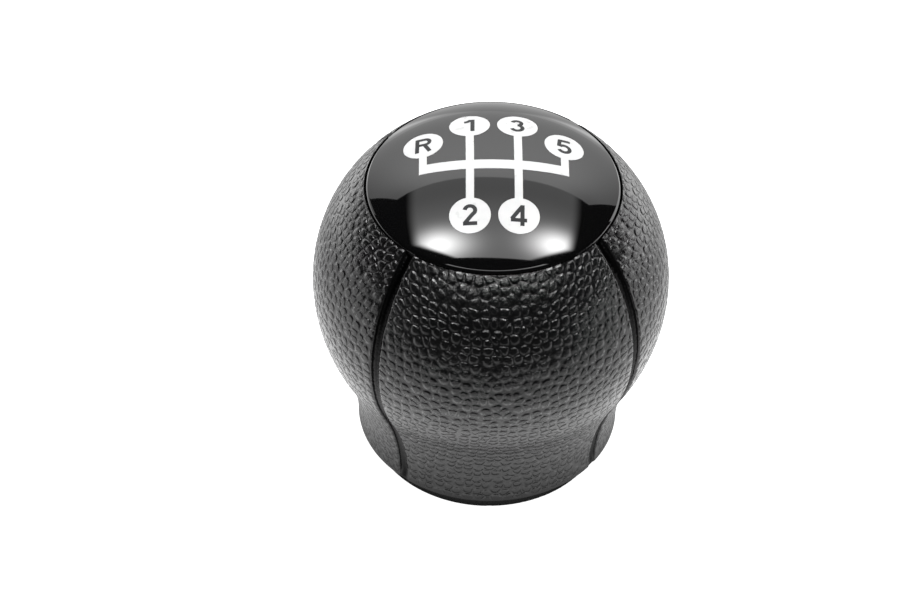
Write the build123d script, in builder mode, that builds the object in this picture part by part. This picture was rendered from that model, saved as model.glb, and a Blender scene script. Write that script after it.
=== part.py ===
"""Gear shift knob: soft grip moulded over a rigid core, clip-in cap, threaded insert for the lever.

Millimetres and degrees. The origin is on the knob's axis at the plane the foot ring stands on.
+Z runs up through the cap, +Y is the car's forward direction and +X its right-hand side.
"""
from build123d import *
from math import acos, asin, cos, degrees, radians, sin
import os

# Grip: the soft outer skin
bulb_diameter = 52.0          # widest circle
bulb_height = 30.4            # height of the widest circle
upper_radius = 24.8           # profile arc above the widest circle
lower_radius = 27.5           # profile arc below it
neck_diameter = 38.8          # narrowest circle, just above the hem
neck_rise = 0.6               # straight band between the hem and the hollow of the neck
hem_radius = 0.5              # rounding of the skin's lower edge
lip_chamfer = 0.15            # height of the bevel on the skin's edge beside the cap
lip_bevel_angle = 45.0        # lean of that bevel from upright

# Seams: four moulded grooves that run from the lip to the hem
seam_width = 1.6
seam_depth = 0.9              # where the bulb is widest
seam_end_depth = 0.6          # where the groove runs out at the lip and the hem
seam_flat = 0.2               # flat left along the middle of the groove's floor
seam_edge = 0.3               # rounding of the panel edges along a seam
front_panel_angle = 93.0      # between the two seams beside the front panel
seam_turn = 8.0               # turn of the seams from the car's forward axis
seam_overrun = 3.0            # how far the groove runs out past the skin

# Core: the rigid carrier
foot_inset = 1.85             # step from the skin's hem in to the ring that shows below it
foot_height = 3.0             # bare height of that ring
foot_edge = 0.4               # rounding of its lower edge
core_wall = 2.6               # tube wall
deck_thickness = 2.4
flange_lap = 1.5              # deck flange, keyed into the skin outside the cap's recess
key_reach = 2.8               # rings that key the skin to the tube
key_thickness = 2.0
key_drops = (11.0, 1.0)       # underside of each ring below the widest circle
socket_wall = 1.54            # boss outside the corners of the insert
socket_setback = 1.0          # end of the boss above the foot plane
rib_count = 4
rib_thickness = 1.8
rib_setback = 2.5             # lower edge of the ribs above the foot plane
lever_room = 8.0              # depth left for the lever's tip above the insert
lever_clearance = 0.3         # radial, round the lever's thread
root_fillet = 0.4             # at the foot of the ribs

# Insert: threaded hexagon moulded into the boss
thread_diameter = 12.0
thread_pitch = 1.25
insert_sides = 6
insert_flats = 15.0           # across the flats
insert_length = 26.0
insert_setback = 3.0          # its lower end above the foot plane
insert_groove_depth = 0.7     # turned into the flats, filled by the core
insert_groove_width = 4.0
insert_lead = 1.0             # chamfer at the mouth of the thread

# Cap: the gloss dome
cap_diameter = 36.4
cap_gap = 0.2                 # open gap between the cap and the lip
rim_step = 0.13               # edge of the dome above the lip
cap_rise = 5.0                # dome above its edge
cap_edge_angle = 34.0         # fall of the dome at its edge
cap_wall = 2.0
cap_edge = 0.6                # rounding of the dome's edge
skirt_wall = 1.6
skirt_depth = 4.4             # from the dome's edge down to the deck that carries it
hook_count = 4
hook_width = 6.0
hook_land = 0.8               # height of the barb's flat end
hook_lead = 1.6               # height of the sloping tip
hook_clearance = 0.2          # round the hooks, and under the deck
hook_room_share = 0.26        # of the pocket between boss and wall: room behind a hook to spring back
hook_share = 0.3              # of the same pocket: thickness of a hook
barb_share = 0.13             # of the same pocket: reach of the barb under the deck

# Radii that follow from those above
bulb_radius = bulb_diameter / 2
neck_radius = neck_diameter / 2
foot_radius = neck_radius - foot_inset
cavity_radius = foot_radius - core_wall
key_radius = foot_radius + key_reach
insert_corner = insert_flats / 2 / cos(radians(180 / insert_sides))
socket_radius = insert_corner + socket_wall
drill_radius = (thread_diameter - thread_pitch) / 2
lever_radius = thread_diameter / 2 + lever_clearance
cap_radius = cap_diameter / 2
recess_radius = cap_radius + cap_gap
flange_radius = recess_radius + flange_lap
pocket_width = cavity_radius - socket_radius
hook_inner = socket_radius + pocket_width * hook_room_share
hook_outer = hook_inner + pocket_width * hook_share
barb_radius = hook_outer + pocket_width * barb_share


def smooth_neck(bulge_radius, run, drop):
    """Radius of a hollow arc that starts upright at a run and drop from the bulge's centre and meets
    the bulge's arc smoothly, and the angle below level at which they meet."""
    hollow_radius = (run**2 + drop**2 - bulge_radius**2) / (2 * (bulge_radius - run))
    return hollow_radius, degrees(asin(drop / (bulge_radius + hollow_radius)))


# Arcs of the grip's profile: upper bulb, lower bulb and neck
upper_centre = (bulb_radius - upper_radius, bulb_height)
lower_centre = (bulb_radius - lower_radius, bulb_height)
neck_start = foot_height + neck_rise
neck_end = foot_height - seam_overrun
neck_run = neck_radius - lower_centre[0]
neck_drop = bulb_height - neck_start
neck_blend, flank_angle = smooth_neck(lower_radius, neck_run, neck_drop)
neck_centre = (neck_radius + neck_blend, neck_start)
lip_angle = degrees(acos((recess_radius - upper_centre[0]) / upper_radius))

# Arcs of a seam's floor: inside those of the profile, and nearer to them towards the lip and the hem
floor_bulge = lower_radius - seam_depth
floor_blend, floor_flank = smooth_neck(floor_bulge, neck_run - seam_end_depth, neck_drop)
floor_neck = neck_radius - seam_end_depth
floor_rise = (seam_depth - seam_end_depth) / (1 - cos(radians(lip_angle)))
floor_crown = upper_radius - seam_depth + floor_rise
overrun_angle = degrees(seam_overrun / upper_radius)

# Heights that follow, and the places of what repeats
lip_height = bulb_height + upper_radius * sin(radians(lip_angle))
rim_height = lip_height + rim_step
cap_top = rim_height + cap_rise
seat_height = rim_height - skirt_depth
deck_underside = seat_height - deck_thickness
insert_top = insert_setback + insert_length
catch_height = deck_underside - hook_clearance
hook_tip = catch_height - hook_land - hook_lead
hook_angles = [360 / hook_count * i for i in range(hook_count)]
seam_angles = [
    side * front_panel_angle / 2 + seam_turn + facing
    for facing in (-90, 90)
    for side in (-1, 1)
]


# Core blank: wall, deck flange and keying rings, as the skin sees them
with BuildPart() as core_blank:
    with BuildSketch(Plane.XZ) as core_half:
        Rectangle(foot_radius, seat_height, align=Align.MIN)
        with Locations((0, deck_underside)):
            Rectangle(flange_radius, deck_thickness, align=Align.MIN)
        with Locations([(0, bulb_height - drop) for drop in key_drops]):
            Rectangle(key_radius, key_thickness, align=Align.MIN)
    revolve(axis=Axis.Z)
    fillet(core_blank.edges().group_by(Axis.Z)[0], radius=foot_edge)

# Insert blank: hexagon with a turned groove, as the core sees it
with BuildPart() as insert_blank:
    with BuildSketch(Plane.XY.offset(insert_setback)) as hexagon:
        RegularPolygon(insert_flats / 2, insert_sides, major_radius=False)
    extrude(amount=insert_length)
    groove_height = insert_setback + (insert_length - insert_groove_width) / 2
    with BuildSketch(Plane.XY.offset(groove_height)) as groove_ring:
        Circle(insert_corner + insert_groove_depth)
        Circle(insert_flats / 2 - insert_groove_depth, mode=Mode.SUBTRACT)
    extrude(amount=insert_groove_width, mode=Mode.SUBTRACT)

# Lever insert: the blank with its threaded hole, drawn at the thread's drill size
with BuildPart() as lever_insert:
    add(insert_blank.part)
    with BuildSketch(Plane.XY.offset(insert_setback)) as thread_hole:
        Circle(drill_radius)
    extrude(amount=insert_length, mode=Mode.SUBTRACT)
    mouth = lever_insert.edges().filter_by(GeomType.CIRCLE).group_by(Axis.Z)[0]
    chamfer(mouth, length=insert_lead)

# Core: the blank, cored out from below between its wall, its ribs and the lever socket
with BuildPart() as core:
    add(core_blank.part)
    with BuildSketch() as pockets:
        Circle(cavity_radius)
        Circle(socket_radius, mode=Mode.SUBTRACT)
        with PolarLocations(0, rib_count, start_angle=180 / rib_count):
            Rectangle(cavity_radius, rib_thickness, align=(Align.MIN, Align.CENTER), mode=Mode.SUBTRACT)
    extrude(amount=deck_underside, mode=Mode.SUBTRACT)
    fillet(core.edges().filter_by(Axis.Z), radius=root_fillet)
    with BuildSketch() as rib_ends:
        Circle(cavity_radius)
        Circle(socket_radius, mode=Mode.SUBTRACT)
    extrude(amount=rib_setback, mode=Mode.SUBTRACT)
    with BuildSketch() as socket_end:
        Circle(socket_radius)
    extrude(amount=socket_setback, mode=Mode.SUBTRACT)
    with BuildSketch() as lever_hole:
        Circle(lever_radius)
    extrude(amount=insert_top + lever_room, mode=Mode.SUBTRACT)
    add(insert_blank.part, mode=Mode.SUBTRACT)
    with BuildSketch(Plane.XY.offset(deck_underside)) as windows:
        with PolarLocations(socket_radius + hook_clearance, hook_count):
            Rectangle(
                hook_outer - socket_radius,
                hook_width + 2 * hook_clearance,
                align=(Align.MIN, Align.CENTER),
            )
    extrude(amount=deck_thickness, mode=Mode.SUBTRACT)

# Seam cutter: a plate whose inner edge follows the skin's profile at the depth of the groove
with BuildPart() as seam_cutter:
    clear_radius = bulb_radius + seam_overrun
    with BuildSketch(Plane.XZ) as plate:
        with BuildLine() as plate_outline:
            Line((floor_neck, neck_end), (floor_neck, neck_start))
            CenterArc((floor_neck + floor_blend, neck_start), floor_blend, 180, -floor_flank)
            CenterArc(lower_centre, floor_bulge, -floor_flank, floor_flank)
            top_arc = CenterArc(
                (upper_centre[0] - floor_rise, bulb_height),
                floor_crown,
                0,
                lip_angle + overrun_angle,
            )
            Polyline(
                top_arc @ 1,
                (clear_radius, (top_arc @ 1).Y),
                (clear_radius, neck_end),
                (floor_neck, neck_end),
            )
        make_face()
    extrude(amount=seam_width / 2, both=True)
    floor_faces = seam_cutter.faces().filter_by(GeomType.CYLINDER)
    fillet(floor_faces.edges().filter_by(GeomType.CIRCLE), radius=(seam_width - seam_flat) / 2)

# Grip: the skin's outline with its seams, less the core and the recess that takes the cap
with BuildPart() as grip:
    with BuildSketch(Plane.XZ) as skin_half:
        with BuildLine() as skin_outline:
            Line((neck_radius, neck_end), (neck_radius, neck_start))
            CenterArc(neck_centre, neck_blend, 180, -flank_angle)
            CenterArc(lower_centre, lower_radius, -flank_angle, flank_angle)
            shoulder = CenterArc(upper_centre, upper_radius, 0, lip_angle + overrun_angle)
            crown = (shoulder @ 1).Y
            Polyline(shoulder @ 1, (0, crown), (0, neck_end), (neck_radius, neck_end))
        make_face()
    revolve(axis=Axis.Z)
    for angle in seam_angles:
        add(seam_cutter.part, rotation=(0, 0, angle), mode=Mode.SUBTRACT)
    split(bisect_by=Plane.XY.offset(foot_height), keep=Keep.TOP)
    with BuildSketch(Plane.XY.offset(seat_height)) as recess:
        Circle(recess_radius)
    extrude(amount=crown, mode=Mode.SUBTRACT)
    add(core_blank.part, mode=Mode.SUBTRACT)
    flanks = grip.faces().filter_by(GeomType.PLANE).filter_by(Axis.Z, reverse=True)
    fillet(flanks.edges().filter_by(GeomType.BSPLINE), radius=seam_edge)
    hem = grip.edges().filter_by(GeomType.CIRCLE).group_by(Axis.Z)[0].group_by(SortBy.RADIUS)[-1]
    fillet(hem, radius=hem_radius)
    with BuildSketch(Plane.XY.offset(lip_height - lip_chamfer)) as lip_bevel:
        Circle(recess_radius)
    extrude(amount=crown - lip_height, taper=-lip_bevel_angle, mode=Mode.SUBTRACT)

# Hook: one springy tongue with a barb that catches under the deck
with BuildPart() as hook:
    with BuildSketch(Plane.XZ) as hook_section:
        with BuildLine() as hook_outline:
            Polyline(
                (hook_inner, cap_top),
                (hook_inner, hook_tip),
                (hook_outer, hook_tip),
                (barb_radius, hook_tip + hook_lead),
                (barb_radius, catch_height),
                (hook_outer, catch_height),
                (hook_outer, cap_top),
                close=True,
            )
        make_face()
    extrude(amount=hook_width / 2, both=True)

# Cap hollow: what the mould leaves open under the dome, with the hooks standing in it
with BuildPart() as cap_hollow:
    fall = (cos(radians(cap_edge_angle)), -sin(radians(cap_edge_angle)))
    skirt_inner = cap_radius - skirt_wall
    with BuildSketch(Plane.XZ) as hollow_half:
        with BuildLine() as hollow_outline:
            underside = Spline(
                (0, cap_top - cap_wall),
                (skirt_inner, rim_height - cap_wall + skirt_wall * sin(radians(cap_edge_angle))),
                tangents=((1, 0), fall),
            )
            Polyline(
                underside @ 1,
                (skirt_inner, seat_height),
                (recess_radius, seat_height),
                (recess_radius, hook_tip),
                (0, hook_tip),
                underside @ 0,
            )
        make_face()
    revolve(axis=Axis.Z)
    for angle in hook_angles:
        add(hook.part, rotation=(0, 0, angle), mode=Mode.SUBTRACT)

# Cap: the dome, less its hollow
with BuildPart() as cap:
    with BuildSketch(Plane.XZ) as dome_half:
        with BuildLine() as dome_outline:
            dome = Spline((0, cap_top), (cap_radius, rim_height), tangents=((1, 0), fall))
            Polyline(dome @ 1, (cap_radius, hook_tip), (0, hook_tip), dome @ 0)
        make_face()
    revolve(axis=Axis.Z)
    rim = cap.edges().filter_by(GeomType.CIRCLE).group_by(Axis.Z)[-1]
    fillet(rim, radius=cap_edge)
    add(cap_hollow.part, mode=Mode.SUBTRACT)

grip.part.label = "grip"
core.part.label = "core"
cap.part.label = "cap"
lever_insert.part.label = "lever_insert"

os.makedirs("parts", exist_ok=True)
export_step(grip.part, "parts/grip.step")
export_step(core.part, "parts/core.step")
export_step(cap.part, "parts/cap.step")
export_step(lever_insert.part, "parts/lever_insert.step")
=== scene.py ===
"""Gear shift knob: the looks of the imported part, in metres, in the part's own frame."""
import math

import bmesh
import bpy
import numpy as np
from mathutils import Matrix, Vector


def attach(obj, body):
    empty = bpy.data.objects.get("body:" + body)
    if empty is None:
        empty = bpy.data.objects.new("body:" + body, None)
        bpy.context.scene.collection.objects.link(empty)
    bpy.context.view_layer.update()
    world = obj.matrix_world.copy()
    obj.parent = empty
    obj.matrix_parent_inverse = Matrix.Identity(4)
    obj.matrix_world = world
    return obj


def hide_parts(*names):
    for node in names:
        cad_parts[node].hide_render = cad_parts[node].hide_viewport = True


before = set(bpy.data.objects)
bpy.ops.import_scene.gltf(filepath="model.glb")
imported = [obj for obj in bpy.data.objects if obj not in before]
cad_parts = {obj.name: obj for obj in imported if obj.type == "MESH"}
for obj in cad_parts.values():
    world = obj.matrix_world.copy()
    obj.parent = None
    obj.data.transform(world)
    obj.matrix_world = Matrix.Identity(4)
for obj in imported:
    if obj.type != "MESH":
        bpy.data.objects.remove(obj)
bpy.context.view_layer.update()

# Core
# The rigid carrier of the knob, injection moulded in black plastic. It shows as the foot ring
# under the skin's hem and, from below, as the ribbed tube round the lever socket.
core_colours = (0.006, 0.006, 0.0063, 1.0), (0.012, 0.012, 0.0125, 1.0)
core_sheen = 0.42, 0.62
core_scales = 4200.0, 260.0
core_bump = "Height", 0.35, 0.06
# The knob's lengths are in millimetres, and become metres where they go into a mesh or a material.
MM = 0.001


def node(tree, kind, links=None, **settings):
    """One node of a tree. Settings are its properties, and links its sockets: a number or colour is set,
    and an output is joined."""
    made = tree.nodes.new(kind)
    for name, value in settings.items():
        setattr(made, name, value)
    for socket, value in (links or {}).items():
        if isinstance(value, bpy.types.NodeSocket):
            tree.links.new(value, made.inputs[socket])
        else:
            made.inputs[socket].default_value = value
    return made


def material(name):
    """An empty node material: its tree, and its Principled shader joined to the output."""
    made = bpy.data.materials.new(name)
    made.use_nodes = True
    made.node_tree.nodes.clear()
    shader = node(made.node_tree, "ShaderNodeBsdfPrincipled")
    node(made.node_tree, "ShaderNodeOutputMaterial", {"Surface": shader.outputs[0]})
    return made, made.node_tree, shader


def mould_grain_group():
    """The fine texture of a moulded surface: two octaves of noise as Height, and four of a slower noise
    as Drift."""
    group = bpy.data.node_groups.new("mould_grain", "ShaderNodeTree")
    for name, kind, way in (
        ("Vector", "NodeSocketVector", "INPUT"),
        ("Grain Scale", "NodeSocketFloat", "INPUT"),
        ("Drift Scale", "NodeSocketFloat", "INPUT"),
        ("Height", "NodeSocketFloat", "OUTPUT"),
        ("Drift", "NodeSocketFloat", "OUTPUT"),
    ):
        group.interface.new_socket(name, in_out=way, socket_type=kind)
    entry = node(group, "NodeGroupInput").outputs
    ways_out = {}
    for name, scale, finer_octaves in (("Height", "Grain Scale", 1.0), ("Drift", "Drift Scale", 3.0)):
        waves = {"Vector": entry["Vector"], "Scale": entry[scale], "Detail": finer_octaves}
        ways_out[name] = node(group, "ShaderNodeTexNoise", waves).outputs[0]
    node(group, "NodeGroupOutput", ways_out)
    return group


def mould_grain(tree, vector, grain_scale, drift_scale):
    """The moulded texture placed in one material, with its own scales in cells to the metre."""
    placed = node(tree, "ShaderNodeGroup", node_tree=mould_texture)
    tree.links.new(vector, placed.inputs["Vector"])
    placed.inputs["Grain Scale"].default_value = grain_scale
    placed.inputs["Drift Scale"].default_value = drift_scale
    return placed.outputs


def spread(tree, value, low, high, start=0.0, end=1.0):
    """A value carried in a straight line from low at its start to high at its end, and held beyond them."""
    ends = {"Value": value, "From Min": start, "From Max": end, "To Min": low, "To Max": high}
    return node(tree, "ShaderNodeMapRange", ends).outputs[0]


def blend_colour(tree, share, first, second):
    """Two colours mixed by a share that changes over the surface."""
    mixed = node(tree, "ShaderNodeMix", data_type="RGBA")
    tree.links.new(share, mixed.inputs[0])
    mixed.inputs[6].default_value = first
    mixed.inputs[7].default_value = second
    return mixed.outputs[2]


def plain_finish(name, colours, sheen, scales, bump):
    """A moulded or printed finish. As its texture drifts, it goes from one colour to the other and from the
    smooth end of its sheen to the rough one. Its bump is one of the texture's outputs, with a strength and
    a height."""
    made, tree, shader = material(name)
    place = node(tree, "ShaderNodeTexCoord").outputs["Object"]
    texture = mould_grain(tree, place, *scales)
    tree.links.new(blend_colour(tree, texture["Drift"], *colours), shader.inputs["Base Color"])
    tree.links.new(spread(tree, texture["Drift"], *sheen), shader.inputs["Roughness"])
    read, strength, height = bump
    raised = {"Height": texture[read], "Strength": strength, "Distance": height * MM}
    tree.links.new(node(tree, "ShaderNodeBump", raised).outputs[0], shader.inputs["Normal"])
    return made


mould_texture = mould_grain_group()
core_plastic = plain_finish("core_plastic", core_colours, core_sheen, core_scales, core_bump)
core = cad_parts["core"]
core.data.materials.clear()
core.data.materials.append(core_plastic)

# Lever insert
# A hexagonal steel nut, turned, tapped and plated, that the core is moulded round. Its groove
# keeps it from pulling out; the lever screws into its thread from below.
insert_low, insert_high = 3.0, 29.0
insert_apothem = 7.5
groove_radius, groove_low, groove_high = 6.8, 14.0, 18.0
thread_pitch = 1.25
thread_minor, thread_major = 5.375, 6.0
thread_root_half, thread_flank = thread_pitch / 16, thread_pitch * 5 / 16
mouth_chamfer = 1.0
insert_columns, thread_rows = 96, 300
plate_bright, plate_dull = (0.62, 0.60, 0.55, 1.0), (0.44, 0.43, 0.41, 1.0)
plate_scales, plate_sheen = (2600.0, 320.0), (0.22, 0.42)
lathe_scales, lathe_strength, lathe_height = (60.0, 60.0, 5200.0), 0.3, 0.02


def put_in_scene(name, points, faces, smooth_angle=None):
    """A mesh object of these points, in millimetres, and faces, at the origin; edges sharper than the
    angle, in degrees, stay sharp."""
    mesh = bpy.data.meshes.new(name)
    mesh.vertices.add(len(points))
    mesh.vertices.foreach_set("co", np.ascontiguousarray(points * MM, dtype=np.float32).ravel())
    sides = faces.shape[1]
    mesh.loops.add(faces.size)
    mesh.loops.foreach_set("vertex_index", np.ascontiguousarray(faces, dtype=np.int32).ravel())
    mesh.polygons.add(len(faces))
    mesh.polygons.foreach_set("loop_start", np.arange(0, faces.size, sides, dtype=np.int32))
    mesh.update(calc_edges=True)
    mesh.validate()
    mesh.shade_smooth()
    if smooth_angle is not None:
        mesh.set_sharp_from_angle(angle=np.radians(smooth_angle))
    piece = bpy.data.objects.new(name, mesh)
    bpy.context.scene.collection.objects.link(piece)
    return piece


def grid_faces(rows, columns, close_rows, close_columns):
    """Quads of a grid of points numbered row by row; a closed direction joins its last line to its
    first."""
    i = np.arange(rows if close_rows else rows - 1)[:, None]
    j = np.arange(columns if close_columns else columns - 1)[None, :]
    i_next, j_next = (i + 1) % rows, (j + 1) % columns
    corners = (i * columns + j, i * columns + j_next, i_next * columns + j_next, i_next * columns + j)
    return np.stack([np.broadcast_to(c, (i.size, j.size)) for c in corners], -1).reshape(-1, 4)


def turned(radius, height, angle):
    """Points at a radius and height, each turned about the upright axis by its angle."""
    return np.stack(np.broadcast_arrays(radius * np.cos(angle), radius * np.sin(angle), height), -1)


def threaded_insert():
    """Closed profile carried round the axis: hexagon radius outside, and inside the minor radius plus a
    trapezoid of the way to the thread's root, whose height climbs one pitch a turn."""
    turn = np.linspace(0, 2 * np.pi, insert_columns, endpoint=False)[None, :]
    sixth = np.pi / 3
    hexagon = insert_apothem / np.cos(turn % sixth - sixth / 2)
    ring = np.ones_like(turn)
    outside = [
        (hexagon, insert_low),
        (hexagon, groove_low),
        (groove_radius * ring, groove_low),
        (groove_radius * ring, groove_high),
        (hexagon, groove_high),
        (hexagon, insert_high),
    ]
    height = np.linspace(insert_high, insert_low, thread_rows)[:, None]
    phase = (height / thread_pitch - turn / (2 * np.pi)) % 1.0
    from_root = np.abs(phase - 0.5) * thread_pitch
    cut = np.clip((thread_root_half + thread_flank - from_root) / thread_flank, 0, 1)
    thread = thread_minor + (thread_major - thread_minor) * cut
    cone = thread_minor + mouth_chamfer - (height - insert_low)
    wall = np.maximum(thread, cone)
    radius = np.concatenate([r for r, z in outside] + [wall])
    heights = np.concatenate([np.full((1, 1), z) for r, z in outside] + [height])
    points = turned(radius, heights, turn)
    return points, grid_faces(len(points), insert_columns, True, True)


points, faces = threaded_insert()
insert = put_in_scene("lever_insert_threaded", points.reshape(-1, 3), faces, smooth_angle=40)
insert_steel, tree, shader = material("insert_steel")
place = node(tree, "ShaderNodeTexCoord").outputs["Object"]
lathe = node(tree, "ShaderNodeMapping", {"Vector": place, "Scale": lathe_scales}).outputs[0]
marks = node(tree, "ShaderNodeTexNoise", {"Vector": lathe, "Scale": 1.0, "Detail": 2.0}).outputs[0]
plate = mould_grain(tree, place, *plate_scales)
tree.links.new(blend_colour(tree, plate["Drift"], plate_bright, plate_dull), shader.inputs["Base Color"])
tree.links.new(spread(tree, marks, *plate_sheen), shader.inputs["Roughness"])
shader.inputs["Metallic"].default_value = 1.0
turned_marks = {"Height": marks, "Strength": lathe_strength, "Distance": lathe_height * MM}
tree.links.new(node(tree, "ShaderNodeBump", turned_marks).outputs[0], shader.inputs["Normal"])
insert.data.materials.append(insert_steel)
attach(insert, "root")
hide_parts("lever_insert")

# Grip
# The soft outer skin, black foam with a leather-like pebble grain, moulded in one piece over the
# core. Four smooth grooves run down it like seams; rings on the core key it in place.
bulb_radius, bulb_height = 25.99, 30.4
upper_arc, lower_arc = 24.8, 27.5
neck_radius, neck_height = 19.4, 3.6
hem_height, hem_round = 3.0, 0.5
recess_radius, lip_bevel, lip_wall_top = 18.4, 0.076, 48.116
deck_height, deck_under, flange_radius = 43.996, 41.596, 19.9
tube_radius, key_radius = 17.55, 20.35
key_spans = ((29.4, 31.4), (19.4, 21.4))
seam_angles = np.radians([-128.5, -35.5, 51.5, 144.5])
seam_half, seam_depth, seam_end_depth = 0.7, 0.9, 0.6
seam_flat_half, seam_root, seam_edge = 0.1, 0.6, 0.35
seam_hem_share, seam_hem_run = 0.1, 2.0
seam_arc_points, seam_margins = 7, np.array([0.2, 0.45])
pebble_pitch, pebble_random, pebble_reach = 1.45, 0.72, 0.76
pebble_top, pebble_foot = 0.42, 0.85
pebble_height, pebble_sink = 0.12, 0.05
bare_at_seam, bare_at_lip, bare_at_hem = (0.7, 1.1), (0.0, 0.3), (0.0, 0.7)
panel_step = 70.0
skin_rows, hem_rows, panel_columns = 158, 4, 96
skin_black, skin_grey = (0.002, 0.002, 0.0021, 1.0), (0.004, 0.004, 0.0042, 1.0)
skin_scales, skin_sheen, skin_fine_height = (2800.0, 180.0), (0.18, 0.25), 0.05
# Painted shade under each pebble and in the groove: where it starts and where it is full, the shine it
# leaves, and the heights where it comes in above the neck.
dip_from, dip_full, shine_in_painted_dip_shade = 0.05, 0.35, 0.4
neck_open, bulb_shaded = 6.0, 16.0
shine_in_painted_groove_shade = 0.07
weld_reach = 0.00001

upper_centre, lower_centre = bulb_radius - upper_arc, bulb_radius - lower_arc
neck_run, neck_drop = neck_radius - lower_centre, bulb_height - neck_height
neck_arc = (neck_run**2 + neck_drop**2 - lower_arc**2) / (2 * (lower_arc - neck_run))
flank = np.arcsin(neck_drop / (lower_arc + neck_arc))
flank_rise = neck_arc * np.sin(flank)


def smooth_rise(low, high, value):
    """Zero below low, one above high, and a cubic with level ends between them."""
    t = np.clip((value - low) / (high - low), 0, 1)
    return t * t * (3 - 2 * t)


def seam_section():
    """Half the groove's section from its middle outwards, as offsets and depths: a flat, a quarter
    circle up the wall, a quarter circle over the panel's edge, and a margin of the panel."""
    quarter = np.linspace(0, np.pi / 2, seam_arc_points)
    root_x = seam_flat_half + seam_root * np.sin(quarter)
    root_y = seam_depth - seam_root * (1 - np.cos(quarter))
    edge_x = seam_half + seam_edge * (1 - np.cos(quarter[1:]))
    edge_y = seam_edge * (1 - np.sin(quarter[1:]))
    margin = edge_x[-1] + seam_margins
    offset = np.concatenate([[0.0], root_x, edge_x, margin])
    depth = np.concatenate([[seam_depth], root_y, edge_y, 0 * margin])
    return offset, depth


def skin_profile(along, depth):
    """Radius, height, lean and arc length of the skin at a share of the way from hem to lip: a short
    upright, then three arcs that meet smoothly, each shifted inwards along its own normal by a depth."""
    bevel = np.maximum(lip_bevel - depth, 0)
    lip = np.arccos((recess_radius + bevel - upper_centre) / (upper_arc - depth))
    upright = np.full_like(depth, neck_height - hem_height - hem_round)
    still = np.full_like(depth, flank)
    ends = np.cumsum([upright, neck_arc * still, lower_arc * still, upper_arc * lip], 0)
    s = along * ends[-1]
    neck_turn = np.clip((s - ends[0]) / neck_arc, 0, flank)
    lower_turn = np.clip((s - ends[1]) / lower_arc, 0, flank) - flank
    upper_turn = np.clip((s - ends[2]) / upper_arc, 0, None)
    neck_r = neck_radius + neck_arc - (neck_arc + depth) * np.cos(neck_turn)
    neck_z = neck_height + (neck_arc + depth) * np.sin(neck_turn)
    lower_r = lower_centre + (lower_arc - depth) * np.cos(lower_turn)
    lower_z = bulb_height + (lower_arc - depth) * np.sin(lower_turn)
    upper_r = upper_centre + (upper_arc - depth) * np.cos(upper_turn)
    upper_z = bulb_height + (upper_arc - depth) * np.sin(upper_turn)
    zone = [s < ends[0], s < ends[1], s < ends[2]]
    radius = np.select(zone, [neck_radius - depth + 0 * s, neck_r, lower_r], upper_r)
    height = np.select(zone, [hem_height + hem_round + s, neck_z, lower_z], upper_z)
    lean = np.select(zone, [0 * s, neck_turn, -lower_turn], -upper_turn)
    return radius, height, lean, s


def groove_share(height):
    """Share of the groove's full depth left at a height: towards the lip it falls as the bulb's arc
    leaves the upright, towards the hem as the square of the way down the neck, and it closes at the hem."""
    end_share = 1 - seam_end_depth / seam_depth
    rise = np.clip((height - bulb_height) / upper_arc, 0, 1)
    top_rise = (lip_wall_top - bulb_height) / upper_arc
    to_lip = (1 - np.sqrt(1 - rise**2)) / (1 - np.sqrt(1 - top_rise**2))
    to_hem = 1 - np.clip((height - neck_height) / flank_rise, 0, 1) ** 2
    closing = smooth_rise(hem_height, hem_height + seam_hem_run, height)
    running_out = 1 - end_share * np.clip(to_lip + to_hem, 0, 1)
    return running_out * (seam_hem_share + (1 - seam_hem_share) * closing)


def skin_columns():
    """The skin's columns, panel by panel: offset from the nearest seam, groove depth, share of the way
    across between the seams' margins, and number of the panel."""
    offset, depth = seam_section()
    inner = np.arange(1, panel_columns + 1) / (panel_columns + 1)
    flat_offset = np.full(panel_columns, offset[-1])
    one_offset = np.concatenate([offset, flat_offset, offset[:0:-1]])
    one_depth = np.concatenate([depth, 0 * inner, depth[:0:-1]])
    one_share = np.concatenate([0 * offset, inner, np.ones(len(offset) - 1)])
    panels = len(seam_angles)
    number = np.repeat(np.arange(panels), len(one_offset))
    return np.tile(one_offset, panels), np.tile(one_depth, panels), np.tile(one_share, panels), number


def pebble_spread(tree, place):
    """How far a flat place is from the middle of its pebble: the greater of the nearest distance over the
    next nearest, and the nearest distance in pitches over the reach of a pebble that stands free."""
    cells = {"Vector": place, "Scale": 1 / pebble_pitch, "Randomness": pebble_random}
    spans = []
    for feature in ("F1", "F2"):
        measured = node(tree, "ShaderNodeTexVoronoi", cells, voronoi_dimensions="2D", feature=feature)
        spans.append(measured.outputs["Distance"])
    ratio = node(tree, "ShaderNodeMath", {0: spans[0], 1: spans[1]}, operation="DIVIDE").outputs[0]
    free = node(tree, "ShaderNodeMath", {0: spans[0], 1: 1 / pebble_reach}, operation="MULTIPLY").outputs[0]
    return node(tree, "ShaderNodeMath", {0: ratio, 1: free}, operation="MAXIMUM").outputs[0]


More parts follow.
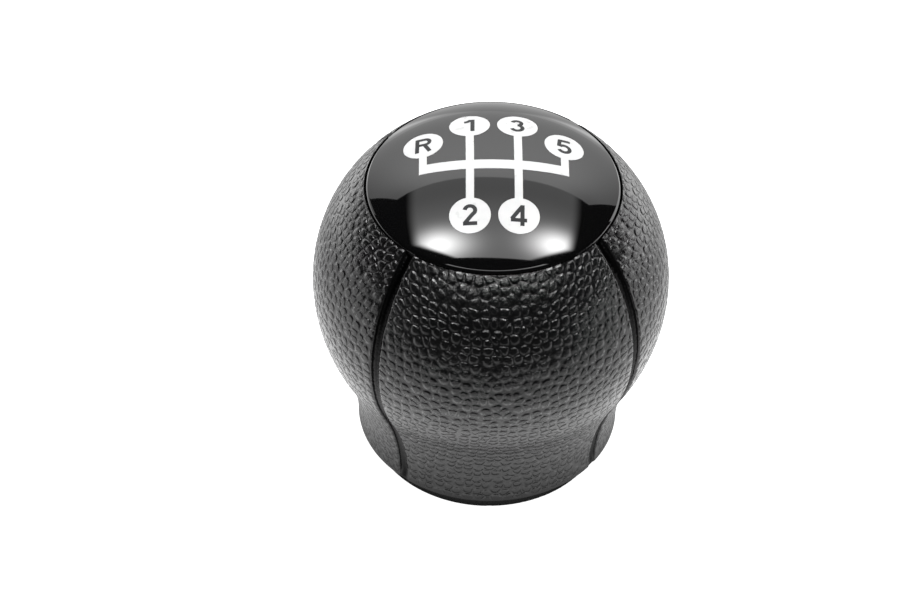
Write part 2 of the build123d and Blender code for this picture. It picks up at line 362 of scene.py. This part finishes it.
def pebble_spread_at(u, v):
    """The spread at flat places in millimetres, read from the same cells as the skin's material."""
    probe_mesh = bpy.data.meshes.new("grain_probe")
    flat = np.stack([u.ravel(), v.ravel(), 0 * u.ravel()], -1)
    probe_mesh.vertices.add(u.size)
    probe_mesh.vertices.foreach_set("co", flat.astype(np.float32).ravel())
    probe = bpy.data.objects.new("grain_probe", probe_mesh)
    bpy.context.scene.collection.objects.link(probe)
    cells = bpy.data.node_groups.new("grain_probe", "GeometryNodeTree")
    for way in ("INPUT", "OUTPUT"):
        cells.interface.new_socket("Geometry", in_out=way, socket_type="NodeSocketGeometry")
    held = node(cells, "NodeGroupInput").outputs[0]
    spread_here = pebble_spread(cells, node(cells, "GeometryNodeInputPosition").outputs[0])
    kept = {"Geometry": held, "Name": "spread", "Value": spread_here}
    node(cells, "NodeGroupOutput", {0: node(cells, "GeometryNodeStoreNamedAttribute", kept).outputs[0]})
    probe.modifiers.new("grain_probe", "NODES").node_group = cells
    read = probe.evaluated_get(bpy.context.evaluated_depsgraph_get()).data.attributes
    found = np.empty(u.size, np.float32)
    read["spread"].data.foreach_get("value", found)
    bpy.data.objects.remove(probe)
    bpy.data.meshes.remove(probe_mesh)
    bpy.data.node_groups.remove(cells)
    return found.reshape(u.shape)


def ramp(tree, value, start, end, low, high):
    """A value carried smoothly from low at its start to high at its end."""
    ends = {"Value": value, "From Min": start, "From Max": end, "To Min": low, "To Max": high}
    return node(tree, "ShaderNodeMapRange", ends, interpolation_type="SMOOTHSTEP").outputs[0]


def weld(piece, smooth_angle):
    """Join the points of a piece that fall together, as at a pole, and mark its sharp edges afresh."""
    shell = bmesh.new()
    shell.from_mesh(piece.data)
    bmesh.ops.remove_doubles(shell, verts=shell.verts, dist=weld_reach * MM)
    shell.to_mesh(piece.data)
    shell.free()
    piece.data.set_sharp_from_angle(angle=np.radians(smooth_angle))


def carried(grid, before, after):
    """A grid with its first row repeated before it and its last row after it."""
    return np.concatenate([np.repeat(grid[:1], before, 0), grid, np.repeat(grid[-1:], after, 0)])


def pebbled_skin():
    """The skin as one closed grid. Each column is the profile inset by the groove's depth there and turned
    to its place between the seams; the panels sink between pebbles, apart from a bare margin at seam, lip
    and hem; the inner wall follows the core."""
    offset, depth, share, panel = skin_columns()
    along = np.linspace(0, 1, skin_rows)[:, None]
    plain_height = skin_profile(along, 0 * depth + 0 * along)[1]
    radius, height, lean, run = skin_profile(along, depth * groove_share(plain_height))
    start = seam_angles[panel]
    end = np.append(seam_angles[1:], seam_angles[0] + 2 * np.pi)[panel]
    aside = np.arcsin(offset / radius)
    angle = start + aside + (end - start - 2 * aside) * share
    across = np.minimum(angle - start, end - angle) * radius
    flat_u = radius * (angle - (start + end) / 2)
    flat_v = run + panel_step * panel
    pebbled = smooth_rise(*bare_at_seam, across) * smooth_rise(*bare_at_lip, run[-1:] - run)
    pebbled = pebbled * smooth_rise(*bare_at_hem, run)
    sunk = pebble_sink * pebbled * smooth_rise(pebble_top, 1, pebble_spread_at(flat_u, flat_v))
    radius = radius - sunk * np.cos(lean)
    height = height + sunk * np.sin(lean)
    hem_turn = np.linspace(np.pi / 2, 0, hem_rows + 1)[:-1, None]
    hem_r = radius[:1] - hem_round * (1 - np.cos(hem_turn))
    hem_z = hem_height + hem_round * (1 - np.sin(hem_turn)) + 0 * hem_r
    wall = [(recess_radius, deck_height), (flange_radius, deck_height)]
    wall += [(flange_radius, deck_under), (tube_radius, deck_under)]
    for low, high in key_spans:
        wall += [(tube_radius, high), (key_radius, high), (key_radius, low), (tube_radius, low)]
    wall += [(tube_radius, hem_height)]
    wall_r, wall_z = np.array(wall).T[:, :, None] + 0 * offset
    lip_z = np.minimum(lip_wall_top, height[-1:])
    all_r = np.concatenate([hem_r, radius, recess_radius + 0 * lip_z, wall_r])
    all_z = np.concatenate([hem_z, height, lip_z, wall_z])
    after = 1 + len(wall)
    points = turned(all_r, all_z, carried(angle, hem_rows, after))
    flat = np.stack([carried(flat_u, hem_rows, after), carried(flat_v, hem_rows, after)], -1)
    panel_mask = np.concatenate([0 * hem_r, pebbled, 0 * lip_z, 0 * wall_r])
    seam_mask = np.repeat((depth[None] / seam_depth) ** 2, len(points), 0)
    return points, grid_faces(len(points), len(offset), True, True), flat, panel_mask, seam_mask


points, faces, flat, pebbled, grooved = pebbled_skin()
grip = put_in_scene("grip_skin", points.reshape(-1, 3), faces)
grain_map = grip.data.uv_layers.new(name="pebble_map")
grain_map.data.foreach_set("uv", flat.reshape(-1, 2)[faces.ravel()].astype(np.float32).ravel())
for name, mask in (("pebbled", pebbled), ("grooved", grooved)):
    held = grip.data.attributes.new(name, "FLOAT", "POINT")
    held.data.foreach_set("value", mask.astype(np.float32).ravel())
weld(grip, smooth_angle=60)

grip_skin, tree, shader = material("grip_skin")
place = node(tree, "ShaderNodeTexCoord").outputs["Object"]
flat_place = node(tree, "ShaderNodeUVMap", uv_map="pebble_map").outputs[0]
on_panel = node(tree, "ShaderNodeAttribute", attribute_name="pebbled").outputs["Fac"]
in_groove = node(tree, "ShaderNodeAttribute", attribute_name="grooved").outputs["Fac"]
pebble = ramp(tree, pebble_spread(tree, flat_place), pebble_foot, pebble_top, 0.0, 1.0)
relief = node(tree, "ShaderNodeMath", {0: pebble, 1: on_panel}, operation="MULTIPLY").outputs[0]
foam = mould_grain(tree, place, *skin_scales)
tree.links.new(blend_colour(tree, foam["Drift"], skin_black, skin_grey), shader.inputs["Base Color"])
tree.links.new(spread(tree, foam["Drift"], *skin_sheen), shader.inputs["Roughness"])
fine = node(tree, "ShaderNodeBump", {"Height": foam["Height"], "Distance": skin_fine_height * MM})
pebble_bump = {"Height": relief, "Distance": pebble_height * MM, "Normal": fine.outputs[0]}
skin_normal = node(tree, "ShaderNodeBump", pebble_bump).outputs[0]
tree.links.new(skin_normal, shader.inputs["Normal"])

# The groove and, above the neck, each pebble's lower side lie in their neighbours' shade and mirror
# less of the floor. That shade is painted: a metallic share dims them, as a metal as black as the skin
# mirrors next to nothing.
normals = {0: node(tree, "ShaderNodeNewGeometry").outputs["Normal"], 1: skin_normal}
bent = node(tree, "ShaderNodeVectorMath", normals, operation="SUBTRACT").outputs[0]
dip = node(tree, "ShaderNodeSeparateXYZ", {0: bent}).outputs["Z"]
up_skin = node(tree, "ShaderNodeSeparateXYZ", {0: place}).outputs["Z"]
least_shine = spread(tree, up_skin, 1.0, shine_in_painted_dip_shade, neck_open * MM, bulb_shaded * MM)
pebble_shine = spread(tree, dip, 1.0, least_shine, dip_from, dip_full)
both_shines = {0: spread(tree, in_groove, 1.0, shine_in_painted_groove_shade), 1: pebble_shine}
shine_left_in_painted_shade = node(tree, "ShaderNodeMath", both_shines, operation="MULTIPLY").outputs[0]
tree.links.new(spread(tree, shine_left_in_painted_shade, 1.0, 0.0), shader.inputs["Metallic"])
grip.data.materials.append(grip_skin)
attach(grip, "root")
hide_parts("grip")

# Cap
# The gloss black dome, moulded in one piece with its skirt and four hooks that snap under the
# core's deck. Its skirt stands on the deck, with a fine gap to the skin's lip all round.
cap_radius, cap_top, cap_rise = 18.2, 53.366, 5.0
cap_edge_fall = np.radians(34.0)
cap_bevel, bevel_lean = 0.5, np.radians(np.linspace(46.0, 26.0, 9))
cap_corner, cap_wall = 0.06, 2.0
skirt_wall, skirt_foot = 1.6, 43.996
hook_inner, hook_outer, barb_radius = 11.435, 12.86, 13.478
hook_half, hook_angles = 3.0, np.radians([0.0, 90.0, 180.0, 270.0])
hook_tip, barb_low, barb_high, hook_root = 38.996, 40.596, 41.396, 49.5
cap_columns, dome_rings, corner_points, under_rings = 192, 72, 4, 12
cap_colours = (0.001, 0.001, 0.0011, 1.0), (0.0018, 0.0018, 0.0019, 1.0)
cap_sheen = 0.02, 0.06
cap_scales = 900.0, 90.0
cap_bump = "Drift", 0.05, 0.03

dome_fourth = (np.tan(cap_edge_fall) * cap_radius / 2 - cap_rise) / cap_radius**4
dome_square = cap_rise / cap_radius**2 - dome_fourth * cap_radius**2


def dome_height(r):
    """Height of the dome at a radius: the top less a square and a fourth power."""
    return cap_top - dome_square * r**2 - dome_fourth * r**4


def dome_fall(r):
    """Fall of the dome at a radius, as an angle."""
    return np.arctan(2 * dome_square * r + 4 * dome_fourth * r**3)


def cap_shell():
    """The cap's outline carried round the axis, from its middle on top to its middle below: dome, a slightly
    rounded bevel between two small corner arcs, skirt, and the underside of the dome. The bevel is walked in
    even steps, each leaning as far from level as the mean of its two ends."""
    steep = np.pi / 2 - cap_edge_fall
    step_lean = (bevel_lean[1:] + bevel_lean[:-1]) / 2
    step = cap_bevel / len(step_lean)
    out = np.append(0, np.cumsum(step * np.sin(step_lean)))
    down = np.append(0, np.cumsum(step * np.cos(step_lean)))
    high_r = cap_radius - cap_corner - out[-1]
    r_dome = (high_r + cap_corner * np.cos(steep)) * np.sqrt(np.linspace(0, 1, dome_rings))
    high_z = dome_height(r_dome[-1]) - cap_corner * np.sin(steep)
    high_turn = np.linspace(steep, bevel_lean[0], corner_points)[1:-1]
    low_turn = np.linspace(bevel_lean[-1], 0, corner_points)[1:]
    turn = np.concatenate([high_turn, bevel_lean, low_turn])
    arcs = len(high_turn), len(low_turn)
    r_edge = high_r + np.pad(out, arcs, "edge") + cap_corner * np.cos(turn)
    z_edge = high_z - np.pad(down, arcs, "edge") + cap_corner * np.sin(turn)
    r_under = (cap_radius - skirt_wall) * np.linspace(1, 0, under_rings)
    z_under = dome_height(r_under) - cap_wall
    r = np.concatenate([r_dome, r_edge, [cap_radius, cap_radius - skirt_wall], r_under])
    z = np.concatenate([dome_height(r_dome), z_edge, [skirt_foot, skirt_foot], z_under])
    round_turn = np.linspace(0, 2 * np.pi, cap_columns, endpoint=False)
    points = turned(r[:, None], z[:, None], round_turn[None, :])
    return points.reshape(-1, 3), grid_faces(len(r), cap_columns, False, True)[:, ::-1]


def cap_hook(angle):
    """One hook: a row of four corners at each change of its section from the tip up, turned to its angle."""
    z = np.array([hook_tip, barb_low, barb_high, barb_high, hook_root])
    outer = np.array([hook_outer, barb_radius, barb_radius, hook_outer, hook_outer])
    inner = 0 * outer + hook_inner
    x = np.stack([inner, outer, outer, inner], -1)
    y = hook_half * np.array([[-1, -1, 1, 1]]) + 0 * x
    east, north = x * np.cos(angle) - y * np.sin(angle), x * np.sin(angle) + y * np.cos(angle)
    points = np.stack([east, north, z[:, None] + 0 * x], -1).reshape(-1, 3)
    corners = np.arange(4)
    ends = np.stack([corners[::-1], corners + len(points) - 4])
    return points, np.concatenate([grid_faces(len(z), 4, False, True), ends])


def joined(pieces):
    """Several sets of points and faces as one."""
    all_points, all_faces = zip(*pieces)
    starts = np.cumsum([0] + [len(points) for points in all_points[:-1]])
    shifted = [faces + start for faces, start in zip(all_faces, starts)]
    return np.concatenate(all_points), np.concatenate(shifted)


points, faces = joined([cap_shell()] + [cap_hook(angle) for angle in hook_angles])
cap = put_in_scene("cap_dome", points, faces)
weld(cap, smooth_angle=50)
cap_gloss = plain_finish("cap_gloss", cap_colours, cap_sheen, cap_scales, cap_bump)
cap.data.materials.append(cap_gloss)
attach(cap, "root")
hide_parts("cap")

# Shift pattern
# White ink printed on the dome: a gate of lines with a disc at each end, and dark numerals on the
# discs. Each print is a film of ink, drawn here a little thicker than a real one.
pattern_turn = np.radians(1.57)
disc_radius = 2.925
disc_places = {
    "1": (-3.43, 8.34), "3": (3.43, 8.34), "5": (10.06, 4.52),
    "2": (-3.43, -10.10), "4": (3.43, -10.10), "R": (-10.06, 4.52),
}
bar_place, bar_half, bar_width = -0.99, 10.62, 1.8
gate_width, stub_width, gate_lap = 1.15, 1.1, 1.5
film_low, least_radius = 0.01, 0.01
gate_lift, line_lift, disc_lift, numeral_lift = 0.008, 0.006, 0.014, 0.020
disc_rings, disc_columns = 9, 72
stroke_columns, stroke_step, stroke_least_steps = 7, 0.16, 8
arc_points = 25


def on_dome(x, y, lift):
    """Points of the pattern carried to the dome: turned in plan, set at the dome's height, and lifted
    along its normal."""
    px = x * np.cos(pattern_turn) - y * np.sin(pattern_turn)
    py = x * np.sin(pattern_turn) + y * np.cos(pattern_turn)
    r = np.hypot(px, py)
    fall = dome_fall(r)
    out = 1 + lift * np.sin(fall) / np.maximum(r, least_radius)
    return np.stack(np.broadcast_arrays(px * out, py * out, dome_height(r) + lift * np.cos(fall)), -1)


def laid(centre, along_x, along_y):
    """Plan coordinates of a shape drawn flat on the dome round a centre: it shortens along the fall line
    by the cosine of the fall."""
    cx, cy = centre
    r = np.hypot(cx, cy)
    ex, ey = cx / r, cy / r
    short = (1 - np.cos(dome_fall(r))) * (along_x * ex + along_y * ey)
    return cx + along_x - short * ex, cy + along_y - short * ey


def disc_film(centre, lift):
    """A round plate of ink: rings from the middle out on top, and back to the middle below."""
    turn = np.linspace(0, 2 * np.pi, disc_columns, endpoint=False)[None, :]
    out = np.linspace(0, disc_radius, disc_rings)[:, None]
    reach = np.concatenate([out, out[::-1]])
    height = np.concatenate([0 * out + lift, 0 * out - film_low])
    x, y = laid(centre, reach * np.cos(turn), reach * np.sin(turn))
    faces = grid_faces(2 * disc_rings, disc_columns, False, True)[:, ::-1]
    return on_dome(x, y, height + 0 * turn).reshape(-1, 3), faces


def stroke_film(path, width, lift, centre=None):
    """A ribbon of ink along a path: the path is walked in even steps, and a thin flat section is carried
    along it square to its course."""
    path_x, path_y = path
    run = np.concatenate([[0], np.cumsum(np.hypot(np.diff(path_x), np.diff(path_y)))])
    steps = max(stroke_least_steps, int(run[-1] / stroke_step))
    even = np.linspace(0, run[-1], steps)
    x, y = np.interp(even, run, path_x), np.interp(even, run, path_y)
    tx, ty = np.gradient(x), np.gradient(y)
    nx, ny = -ty / np.hypot(tx, ty), tx / np.hypot(tx, ty)
    across = np.linspace(-0.5, 0.5, stroke_columns) * width
    section = np.concatenate([across, across[::-1]])[None, :]
    height = np.concatenate([0 * across + lift, 0 * across - film_low])[None, :]
    sx, sy = x[:, None] + nx[:, None] * section, y[:, None] + ny[:, None] * section
    if centre is not None:
        sx, sy = laid(centre, sx, sy)
    sides = 2 * stroke_columns
    k = np.arange(stroke_columns - 1)
    end = np.stack([k, k + 1, sides - 2 - k, sides - 1 - k], -1)
    faces = [grid_faces(steps, sides, False, True), end, ((steps - 1) * sides + end)[:, ::-1]]
    return on_dome(sx, sy, height + 0 * sx).reshape(-1, 3), np.concatenate(faces)


def arc(cx, cy, radius, first, last):
    """Points of a circle's arc between two angles in degrees, counted from the right and upwards."""
    t = np.radians(np.linspace(first, last, arc_points))
    return cx + radius * np.cos(t), cy + radius * np.sin(t)


def line(*corners):
    """Straight runs through corners."""
    return np.array(corners, float).T


def chain(*parts):
    """Several runs of points as one path."""
    return np.concatenate([part[0] for part in parts]), np.concatenate([part[1] for part in parts])


gate = [stroke_film(line((-bar_half, bar_place), (bar_half, bar_place)), bar_width, gate_lift)]
for above, below in (("1", "2"), ("3", "4")):
    x, high = disc_places[above]
    low = disc_places[below][1]
    gate.append(stroke_film(line((x, high - gate_lap), (x, low + gate_lap)), gate_width, line_lift))
for name, side in (("R", -1), ("5", 1)):
    x = side * (bar_half - stub_width / 2)
    stub = line((x, bar_place), (x, disc_places[name][1] - gate_lap))
    gate.append(stroke_film(stub, stub_width, line_lift))
discs = [disc_film(centre, disc_lift) for centre in disc_places.values()]
gate_print = put_in_scene("gate_print", *joined(gate + discs))
weld(gate_print, smooth_angle=40)

numeral_stroke = 0.6
numerals = {
    "1": [line((0.42, -1.7), (0.42, 1.7)), arc(-0.80, 1.95, 1.0, -90, -18)],
    "2": [
        chain(arc(0.0, 0.72, 0.74, 172, -32), line((0.35, 0.05), (-0.72, -1.30))),
        line((-1.0, -1.4), (1.0, -1.4)),
    ],
    "3": [arc(-0.06, 0.76, 0.66, 165, -80), arc(-0.06, -0.62, 0.78, 84, -165)],
    "4": [
        line((0.48, 1.52), (-1.02, -0.66)),
        line((-1.16, -0.80), (1.14, -0.80)),
        line((0.48, -1.7), (0.48, 1.7)),
    ],
    "5": [
        line((-0.72, 1.4), (0.92, 1.4)),
        line((-0.58, 1.62), (-0.80, -0.10)),
        arc(-0.02, -0.56, 0.82, 142, -160),
    ],
    "R": [
        line((-0.86, -1.7), (-0.86, 1.7)),
        chain(
            line((-0.86, 1.4), (0.28, 1.4)),
            arc(0.28, 0.74, 0.66, 88, -88),
            line((0.28, 0.08), (-0.86, 0.08)),
        ),
        line((0.18, 0.10), (1.02, -1.66)),
    ],
}
strokes = [
    stroke_film(path, numeral_stroke, numeral_lift, disc_places[name])
    for name, paths in numerals.items()
    for path in paths
]
numeral_print = put_in_scene("numeral_print", *joined(strokes), smooth_angle=40)

white_colours, white_sheen = ((0.40, 0.40, 0.40, 1.0), (0.46, 0.46, 0.46, 1.0)), (0.24, 0.34)
dark_colours, dark_sheen = ((0.010, 0.010, 0.011, 1.0), (0.016, 0.016, 0.017, 1.0)), (0.80, 0.95)
ink_scales, ink_bump = (3800.0, 700.0), ("Height", 0.12, 0.01)
white_ink = plain_finish("gate_ink", white_colours, white_sheen, ink_scales, ink_bump)
dark_ink = plain_finish("numeral_ink", dark_colours, dark_sheen, ink_scales, ink_bump)
for film, its_ink in ((gate_print, white_ink), (numeral_print, dark_ink)):
    film.data.materials.append(its_ink)
    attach(film, "root")

# Floor and light
# A white light table before a pale back wall, under one soft panel that two lamps light near its front
# edge, with strips and fills at both sides and a screen high in front. Light and shade are painted into the
# table's glow: it fades towards the camera, a painted shadow darkens it under the foot, a painted pool of
# light brightens it round the knob, and its back is dimmed between two brighter wings, so the skin's outline
# stays dark.
# Lengths here and at the camera are in metres.
floor_half, floor_drop = 6.0, 0.00002
floor_low_share, floor_seen_glow = 0.05, 1.05
painted_pool_glow, table_glow = 1.95, 1.5
pool_from, pool_to = 0.03, 0.07
table_front_from, table_front_to = -0.155, -0.02
painted_shadow_from, painted_shadow_to = 0.016, 0.030
table_back_from, table_back_to, table_back_share = 0.0, 0.05, 0.65
wing_back_from, wing_back_to = 0.05, 0.11
wing_aside_from, wing_aside_to, wing_gain = 0.05, 0.11, 1.7
wing_far_from, wing_far_to, wing_far_share = 0.2, 0.7, 0.3
wall_distance, wall_half, wall_height = 1.6, 1.95, 2.1
wall_end_from, wall_end_share = 0.8, 0.5
wall_glow_height, wall_foot_glow, wall_top_glow = 1.7, 1.2, 2.9
panel_height, panel_front, panel_back = 1.15, -0.245, 0.86
panel_half, panel_corner_half, panel_corner = 0.92, 0.41, 0.25
panel_aside, panel_fade_from, panel_points = 0.02, 0.78, 33
panel_deep, panel_back_glow, panel_front_glow = 0.7, 1.4, 3.0
side_distance = 1.3
strip_span, strip_height = np.array([[-0.9, 0.4]]), 0.07
fill_span, fill_height = np.array([[0.5, 1.5]]), 0.40
# Each light at the sides has a name, a place across, a span along the table, a height and a shine.
side_lights = (
    ("right_strip", side_distance, strip_span, strip_height, 5.0),
    ("left_strip", -side_distance, strip_span, strip_height, 2.0),
    ("right_fill", side_distance, fill_span, fill_height, 2.8),
    ("left_fill", -side_distance, fill_span, fill_height, 1.0),
)
screen_distance, screen_aside, screen_half, screen_shine = 1.3, 0.2, 1.3, 5.0
screen_low, screen_full, screen_high = 1.05, 1.6, 2.2
lamp_reach = (0.19, 0.12, 1.0)
lamp_places = ((-0.51, -0.06, panel_height), (0.64, 0.0, panel_height))
lamp_glow = 27.0
bell_base = math.exp(-0.5)
room_grey = (0.02, 0.02, 0.02, 1.0)


def sheet(name, x, y, z):
    """A stage surface: a grid of points in metres, from arrays that spread over its rows and columns."""
    points = np.stack(np.broadcast_arrays(x, y, z), -1)
    rows, columns = points.shape[:2]
    made = put_in_scene(name, points.reshape(-1, 3) / MM, grid_faces(rows, columns, False, False))
    return made


def glow(name):
    """A material that only shines, in white: its tree, where it is, and the socket of its brightness."""
    made, tree, shader = material(name)
    shader.inputs["Base Color"].default_value = (0.0, 0.0, 0.0, 1.0)
    shader.inputs["Specular IOR Level"].default_value = 0.0
    shader.inputs["Emission Color"].default_value = (1.0, 1.0, 1.0, 1.0)
    place = node(tree, "ShaderNodeTexCoord").outputs["Object"]
    return made, tree, place, shader.inputs["Emission Strength"]


def lamp(tree, place, centre):
    """The brightness of one lamp behind the panel's cloth: a bell round its centre."""
    off = node(tree, "ShaderNodeVectorMath", {0: place, 1: centre}, operation="SUBTRACT").outputs[0]
    off = node(tree, "ShaderNodeVectorMath", {0: off, 1: lamp_reach}, operation="DIVIDE").outputs[0]
    square = node(tree, "ShaderNodeVectorMath", {0: off, 1: off}, operation="DOT_PRODUCT").outputs["Value"]
    bell = node(tree, "ShaderNodeMath", {0: bell_base, 1: square}, operation="POWER").outputs[0]
    return node(tree, "ShaderNodeMath", {0: bell, 1: lamp_glow}, operation="MULTIPLY").outputs[0]


both_ways, foot_to_top = np.array([-1.0, 1.0]), np.array([[0.0], [1.0]])
floor = sheet("floor", floor_half * both_ways[None, :], floor_half * both_ways[:, None], -floor_drop)
floor_white, tree, place, brightness = glow("floor_white")
down_table = node(tree, "ShaderNodeSeparateXYZ", {0: place}).outputs["Y"]
table = ramp(tree, down_table, table_front_from, table_front_to, floor_low_share, 1.0)
from_axis = node(tree, "ShaderNodeVectorMath", {0: place}, operation="LENGTH").outputs["Value"]
across_table = node(tree, "ShaderNodeSeparateXYZ", {0: place}).outputs["X"]
across_table = node(tree, "ShaderNodeMath", {0: across_table}, operation="ABSOLUTE").outputs[0]
wing_back = ramp(tree, down_table, wing_back_from, wing_back_to, 0.0, 1.0)
wing_far = ramp(tree, down_table, wing_far_from, wing_far_to, 1.0, wing_far_share)
wing_back = node(tree, "ShaderNodeMath", {0: wing_back, 1: wing_far}, operation="MULTIPLY").outputs[0]
wing_aside = ramp(tree, across_table, wing_aside_from, wing_aside_to, 0.0, wing_gain)
# Each share paints light or shade into the table's glow: a painted shadow under the foot, a painted pool of
# light round the knob, a dimmed back, and brighter wings behind at the sides.
for share in (
    ramp(tree, from_axis, painted_shadow_from, painted_shadow_to, 0.0, 1.0),
    ramp(tree, from_axis, pool_from, pool_to, painted_pool_glow, table_glow),
    ramp(tree, down_table, table_back_from, table_back_to, 1.0, table_back_share),
    node(tree, "ShaderNodeMath", {0: wing_back, 1: wing_aside, 2: 1.0}, operation="MULTIPLY_ADD").outputs[0],
):
    table = node(tree, "ShaderNodeMath", {0: table, 1: share}, operation="MULTIPLY").outputs[0]
# For the camera the table's glow is raised to plain white, so its painted light and shade show only in what
# the table lights and mirrors.
seen = node(tree, "ShaderNodeLightPath").outputs["Is Camera Ray"]
table = node(tree, "ShaderNodeMath", {0: seen, 1: floor_seen_glow, 2: table}, operation="MULTIPLY_ADD")
tree.links.new(table.outputs[0], brightness)
floor.data.materials.append(floor_white)

wall = sheet("back_wall", wall_half * both_ways[None, :], wall_distance, wall_height * foot_to_top)
wall_glow, tree, place, brightness = glow("wall_glow")
up_wall = node(tree, "ShaderNodeSeparateXYZ", {0: place}).outputs["Z"]
shine = ramp(tree, up_wall, 0.0, wall_glow_height, wall_foot_glow, wall_top_glow)
along_wall = node(tree, "ShaderNodeSeparateXYZ", {0: place}).outputs["X"]
along_wall = node(tree, "ShaderNodeMath", {0: along_wall}, operation="ABSOLUTE").outputs[0]
end_shade = ramp(tree, along_wall, wall_end_from, wall_half, 1.0, wall_end_share)
shine = node(tree, "ShaderNodeMath", {0: shine, 1: end_shade}, operation="MULTIPLY").outputs[0]
tree.links.new(shine, brightness)
wall.data.materials.append(wall_glow)

panel_y = np.linspace(panel_front, panel_back, panel_points)[:, None]
across_panel = np.linspace(-1, 1, panel_points)[None, :]
corner_share = np.clip((panel_y - panel_front) / panel_corner, 0, 1)
half_at = panel_corner_half + (panel_half - panel_corner_half) * corner_share
panel = sheet("overhead_panel", panel_aside + across_panel * half_at, panel_y, panel_height)
edge_share = np.abs(across_panel) + 0 * panel_y
held = panel.data.attributes.new("to_edge", "FLOAT", "POINT")
held.data.foreach_set("value", edge_share.astype(np.float32).ravel())
panel_glow, tree, place, brightness = glow("panel_glow")
along_panel = node(tree, "ShaderNodeSeparateXYZ", {0: place}).outputs["Y"]
shine = ramp(tree, along_panel, panel_deep, 0.0, panel_back_glow, panel_front_glow)
for centre in lamp_places:
    shine = node(tree, "ShaderNodeMath", {0: shine, 1: lamp(tree, place, centre)}).outputs[0]
to_edge = node(tree, "ShaderNodeAttribute", attribute_name="to_edge").outputs["Fac"]
edge_fade = ramp(tree, to_edge, panel_fade_from, 1.0, 1.0, 0.0)
shine = node(tree, "ShaderNodeMath", {0: shine, 1: edge_fade}, operation="MULTIPLY").outputs[0]
tree.links.new(shine, brightness)
panel.data.materials.append(panel_glow)

for name, side_x, span, height, shine in side_lights:
    side_light = sheet(name, side_x, span, height * foot_to_top)
    side_glow, tree, place, brightness = glow(name)
    brightness.default_value = shine
    side_light.data.materials.append(side_glow)

screen_x = screen_aside + screen_half * both_ways[None, :]
screen = sheet("front_screen", screen_x, -screen_distance, np.array([[screen_low], [screen_high]]))
screen_glow, tree, place, brightness = glow("screen_glow")
up_screen = node(tree, "ShaderNodeSeparateXYZ", {0: place}).outputs["Z"]
tree.links.new(ramp(tree, up_screen, screen_low, screen_full, 0.0, screen_shine), brightness)
screen.data.materials.append(screen_glow)

world = bpy.data.worlds.new("studio")
world.use_nodes = True
world.node_tree.nodes["Background"].inputs["Color"].default_value = room_grey
bpy.context.scene.world = world

# Camera
# Where the photograph was taken from: above and in front, with a long lens, and turned so that
# the knob lies a little right of the middle and above it.
image_width, image_height = 920.0, 613.0
focal_pixels = 3580.0
look_at = Vector((0.0, 0.0, 0.0337))
camera_distance, camera_lift, camera_roll = 0.520, math.radians(43.2), 0.0203
seen_at = (490.9, 260.1)


def rolled(forward):
    """The directions to the right and up of a camera that looks forward, turned by its roll."""
    right = forward.cross(Vector((0.0, 0.0, 1.0))).normalized()
    up = right.cross(forward)
    cosine, sine = math.cos(camera_roll), math.sin(camera_roll)
    return cosine * right + sine * up, cosine * up - sine * right


outward = Vector((0.0, -math.cos(camera_lift), math.sin(camera_lift)))
right, up = rolled(-outward)
aside = (seen_at[0] - image_width / 2) / focal_pixels
below = (seen_at[1] - image_height / 2) / focal_pixels
axis = (-outward - aside * right + below * up).normalized()
across, upright = rolled(axis)
lens = bpy.data.cameras.new("camera")
lens.sensor_width = 36.0
lens.lens = focal_pixels / image_width * lens.sensor_width
lens.clip_start, lens.clip_end = 0.01, 50.0
camera = bpy.data.objects.new("camera", lens)
facing = Matrix((across, upright, -axis)).transposed().to_4x4()
camera.matrix_world = Matrix.Translation(look_at + outward * camera_distance) @ facing
bpy.context.scene.collection.objects.link(camera)
bpy.context.scene.camera = camera
bpy.context.scene.view_settings.view_transform = "Standard"
